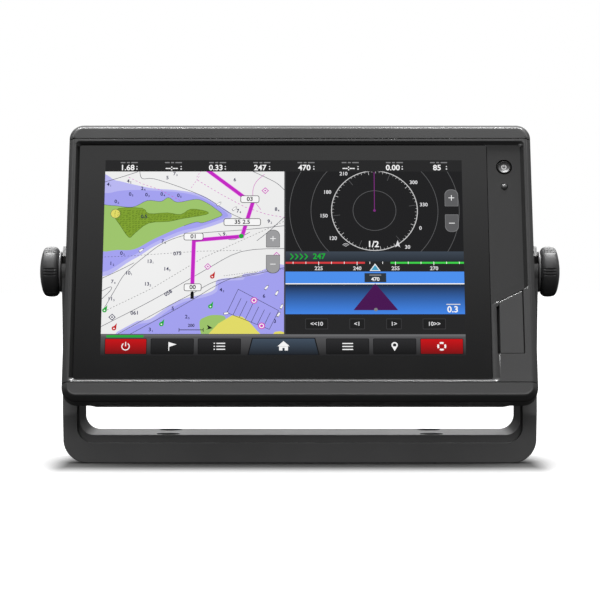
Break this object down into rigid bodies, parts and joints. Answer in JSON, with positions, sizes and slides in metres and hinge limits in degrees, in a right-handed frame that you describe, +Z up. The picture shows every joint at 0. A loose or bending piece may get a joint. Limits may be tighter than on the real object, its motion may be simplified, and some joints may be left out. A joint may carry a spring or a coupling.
{
  "type": "chartplotter display",
  "caption": "Marine chartplotter with a wide glass-fronted screen, a power key and card door at its right edge, tilting on a U-shaped bail bracket held by grip knobs.",
  "frame": {"origin": "on the plane the bracket stands on, under the middle of the tilt axis", "axes": "+X to the right as the screen is read, +Y away from the reader and into the case, +Z up; the screen faces -Y and leans back 22 degrees at rest"},
  "size_m": [0.2864, 0.0989, 0.1856],
  "materials": {
    "black_plastic": "satin",
    "bracket_plastic": "moulded texture",
    "brass": "plain",
    "ceramic": "unglazed",
    "circuit_board": "solder mask",
    "clear_window": "translucent",
    "cover_glass": "gloss, black printed border",
    "housing_plastic": "fine moulded texture",
    "key_rubber": "satin",
    "knob_rubber": "matt",
    "plate_aluminium": "plain",
    "seal_rubber": "matt",
    "sheet_steel": "satin",
    "sink_aluminium": "black anodised",
    "stainless_steel": "satin",
    "thermal_pad": "soft"
  },
  "bodies": {
    "bracket": {"bail_bracket": "bracket_plastic"},
    "display": {"front_bezel": "housing_plastic", "top_trim": "housing_plastic", "bottom_trim": "housing_plastic", "cover_glass": "cover_glass", "glass_tape": "black_plastic", "lcd_panel": "cover_glass", "backlight_tray": "sheet_steel", "key_board": "circuit_board", "key_switch": "sheet_steel", "light_sensor_lens": "clear_window", "card_door_pin": "stainless_steel", "card_board": "circuit_board", "card_socket_upper": "sheet_steel", "card_socket_lower": "sheet_steel", "rear_housing": "housing_plastic", "housing_seal": "seal_rubber", "heat_sink": "sink_aluminium", "chassis_plate": "plate_aluminium", "main_board": "circuit_board", "processor_shield": "sheet_steel", "thermal_pad": "thermal_pad", "backup_cell": "stainless_steel", "buzzer": "black_plastic", "gps_board": "circuit_board", "gps_patch_antenna": "ceramic", "display_ribbon": "black_plastic", "breather_vent": "black_plastic", "transducer_socket": "black_plastic", "network_socket_1": "black_plastic", "network_socket_2": "black_plastic", "backbone_socket": "black_plastic", "power_socket": "black_plastic", "pivot_insert_left": "brass", "pivot_insert_right": "brass", "board_screw_1": "stainless_steel", "board_screw_2": "stainless_steel", "board_screw_3": "stainless_steel", "board_screw_4": "stainless_steel", "housing_screw_1": "stainless_steel", "housing_screw_2": "stainless_steel", "housing_screw_3": "stainless_steel", "housing_screw_4": "stainless_steel", "housing_screw_5": "stainless_steel", "housing_screw_6": "stainless_steel", "housing_screw_7": "stainless_steel", "housing_screw_8": "stainless_steel"},
    "power_key": {"power_key": "key_rubber", "power_key_light_pipe": "clear_window"},
    "card_door": {"card_door": "housing_plastic", "card_door_gasket": "seal_rubber"},
    "left_washer": {"knob_washer_left": "seal_rubber"},
    "right_washer": {"knob_washer_right": "seal_rubber"},
    "left_knob": {"knob_left": "knob_rubber", "knob_stud_left": "stainless_steel"},
    "right_knob": {"knob_right": "knob_rubber", "knob_stud_right": "stainless_steel"}
  },
  "joints": [
    {"name": "display_tilt", "type": "hinge", "parent": "bracket", "child": "display", "pos_m": [0, 0, 0.1043], "axis": [-1, 0, 0], "range_deg": [-15, 38]},
    {"name": "power_key_press", "type": "slide", "parent": "display", "child": "power_key", "axis": [0, 0.9272, -0.3746], "range_m": [0, 0.0005], "stiffness_N_per_m": 2500},
    {"name": "card_door_hinge", "type": "hinge", "parent": "display", "child": "card_door", "pos_m": [0.1195, -0.0165, 0.11097], "axis": [0, 0.3746, 0.9272], "range_deg": [0, 95]},
    {"name": "left_knob_travel", "type": "slide", "parent": "display", "child": "left_washer", "axis": [-1, 0, 0], "range_m": [0, 0.0022]},
    {"name": "left_knob_turn", "type": "hinge", "parent": "left_washer", "child": "left_knob", "pos_m": [-0.138, 0, 0.1043], "axis": [-1, 0, 0], "range_deg": [0, 720]},
    {"name": "right_knob_travel", "type": "slide", "parent": "display", "child": "right_washer", "axis": [1, 0, 0], "range_m": [0, 0.0022]},
    {"name": "right_knob_turn", "type": "hinge", "parent": "right_washer", "child": "right_knob", "pos_m": [0.138, 0, 0.1043], "axis": [1, 0, 0], "range_deg": [0, 720]}
  ],
  "couplings": [
    {"joint": "left_knob_travel", "follows": "left_knob_turn", "m_per_rad": 0.00015915},
    {"joint": "right_knob_travel", "follows": "right_knob_turn", "m_per_rad": 0.00015915}
  ]
}
